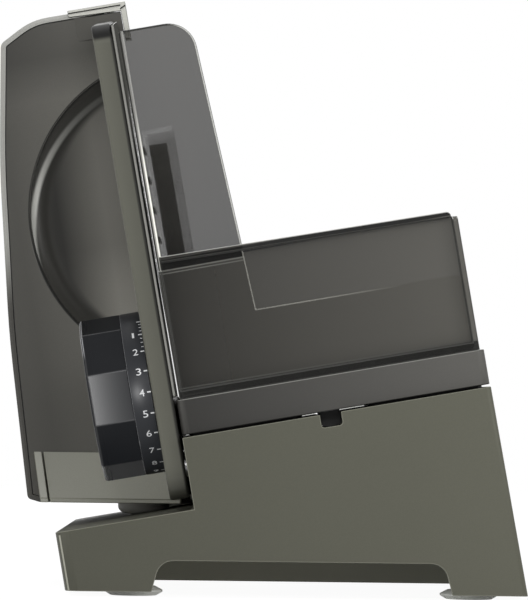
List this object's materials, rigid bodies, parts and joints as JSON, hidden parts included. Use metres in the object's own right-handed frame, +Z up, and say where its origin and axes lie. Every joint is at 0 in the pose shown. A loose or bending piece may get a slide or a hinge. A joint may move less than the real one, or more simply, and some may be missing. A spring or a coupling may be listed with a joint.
{
  "type": "food slicer",
  "caption": "Household food slicer with a leaning round blade, hand pushed carriage, clear guard, thickness knob and food holder.",
  "frame": {"origin": "centre of the outside box, on the surface the feet stand on", "axes": "+X to the user's right, +Y away from the user, +Z up"},
  "size_m": [0.2467, 0.272, 0.2771],
  "materials": {
    "olive_paint": "die-cast, satin metallic olive grey lacquer",
    "chute_paint": "sheet, satin light olive grey lacquer",
    "aluminium": "satin anodised",
    "blade_steel": "ground stainless",
    "bright_steel": "bright zinc",
    "sheet_steel": "plain sheet",
    "black_plastic": "smooth black",
    "dial_plastic": "satin dark grey",
    "white_plastic": "natural nylon",
    "bronze": "sintered bronze",
    "pinion_steel": "cut steel",
    "smoked_plastic": "clear smoked plastic",
    "tray_plastic": "satin dark grey",
    "grip_plastic": "satin dark grey",
    "rubber": "soft light grey",
    "magnet": "dark ferrite"
  },
  "bodies": {
    "main": {"base_shell": "olive_paint", "rubber_feet": "rubber", "foot_screws": "bright_steel", "guide_bushes": "bronze", "housing_shell": "olive_paint", "front_panel": "olive_paint", "chute_panel": "chute_paint", "chute_end_strip": "chute_paint", "blade_plate": "aluminium", "plate_screws": "bright_steel", "top_trim": "aluminium", "housing_neck": "olive_paint", "swivel_boss": "black_plastic", "cord_inlet": "rubber", "motor_can": "sheet_steel", "motor_end_cap": "black_plastic", "motor_magnets": "magnet", "front_gear_plate": "sheet_steel", "rear_gear_plate": "sheet_steel", "bearing_bushes": "bronze", "gear_pillars": "bright_steel", "pillar_screws": "bright_steel", "cam_pin": "bright_steel", "switch_block": "black_plastic"},
    "gauge": {"stop_plate_frame": "olive_paint", "stop_plate_face": "aluminium", "guide_rods": "bright_steel", "knob_axle": "bright_steel", "knob_screw": "bright_steel"},
    "knob": {"knob_grip": "black_plastic", "dial_ring": "dial_plastic", "cam_barrel": "white_plastic", "knob_cap": "black_plastic"},
    "cutter": {"blade": "blade_steel", "blade_screw": "bright_steel", "blade_axle": "bright_steel", "drive_flange": "bright_steel", "drive_gear": "white_plastic"},
    "idler": {"idler_shaft": "bright_steel", "idler_pinion": "pinion_steel", "idler_gear": "white_plastic"},
    "rotor": {"motor_shaft": "bright_steel", "motor_pinion": "pinion_steel", "armature": "magnet"},
    "carriage": {"carriage_tray": "tray_plastic", "carriage_wall": "smoked_plastic", "tray_sheet": "blade_steel", "holder_ledge": "smoked_plastic", "wall_screws": "bright_steel", "carriage_runner": "black_plastic", "runner_keeper": "black_plastic", "keeper_screws": "bright_steel", "glide_pads": "black_plastic"},
    "holder": {"holder_plate": "smoked_plastic", "pusher": "smoked_plastic", "holder_grip": "grip_plastic", "holder_points": "bright_steel"},
    "switch": {"switch_button": "black_plastic"},
    "lock": {"lock_button": "black_plastic"}
  },
  "joints": [
    {"name": "carriage_slide", "type": "slide", "parent": "main", "child": "carriage", "axis": [0, 1, 0], "range_m": [0, 0.18]},
    {"name": "holder_slide", "type": "slide", "parent": "carriage", "child": "holder", "axis": [0.9842, 0, 0.1771], "range_m": [0, 0.09]},
    {"name": "stop_plate_slide", "type": "slide", "parent": "main", "child": "gauge", "axis": [0.9842, 0, 0.1771], "range_m": [-0.02, 0]},
    {"name": "knob_turn", "type": "hinge", "parent": "gauge", "child": "knob", "pos_m": [-0.07535, -0.094, 0.0877], "axis": [-0.9842, 0, -0.1771], "range_deg": [0, 300]},
    {"name": "blade_spin", "type": "hinge", "parent": "main", "child": "cutter", "pos_m": [-0.05156, 0.03, 0.1757], "axis": [0.9842, 0, 0.1771], "continuous": true},
    {"name": "idler_spin", "type": "hinge", "parent": "main", "child": "idler", "pos_m": [-0.06674, 0.05546, 0.14711], "axis": [0.9842, 0, 0.1771], "continuous": true},
    {"name": "motor_spin", "type": "hinge", "parent": "main", "child": "rotor", "pos_m": [-0.09205, 0.07538, 0.11842], "axis": [0.9842, 0, 0.1771], "continuous": true},
    {"name": "switch_press", "type": "slide", "parent": "main", "child": "switch", "axis": [1, 0, 0], "range_m": [0, 0.0025], "stiffness_N_per_m": 400, "springref_m": -0.002},
    {"name": "lock_press", "type": "slide", "parent": "main", "child": "lock", "axis": [1, 0, 0], "range_m": [0, 0.0025], "stiffness_N_per_m": 300, "springref_m": -0.002}
  ],
  "couplings": [
    {"joint": "knob_turn", "follows": "stop_plate_slide", "rad_per_m": -261.8},
    {"joint": "idler_spin", "follows": "blade_spin", "ratio": -3},
    {"joint": "motor_spin", "follows": "blade_spin", "ratio": 12.5}
  ]
}
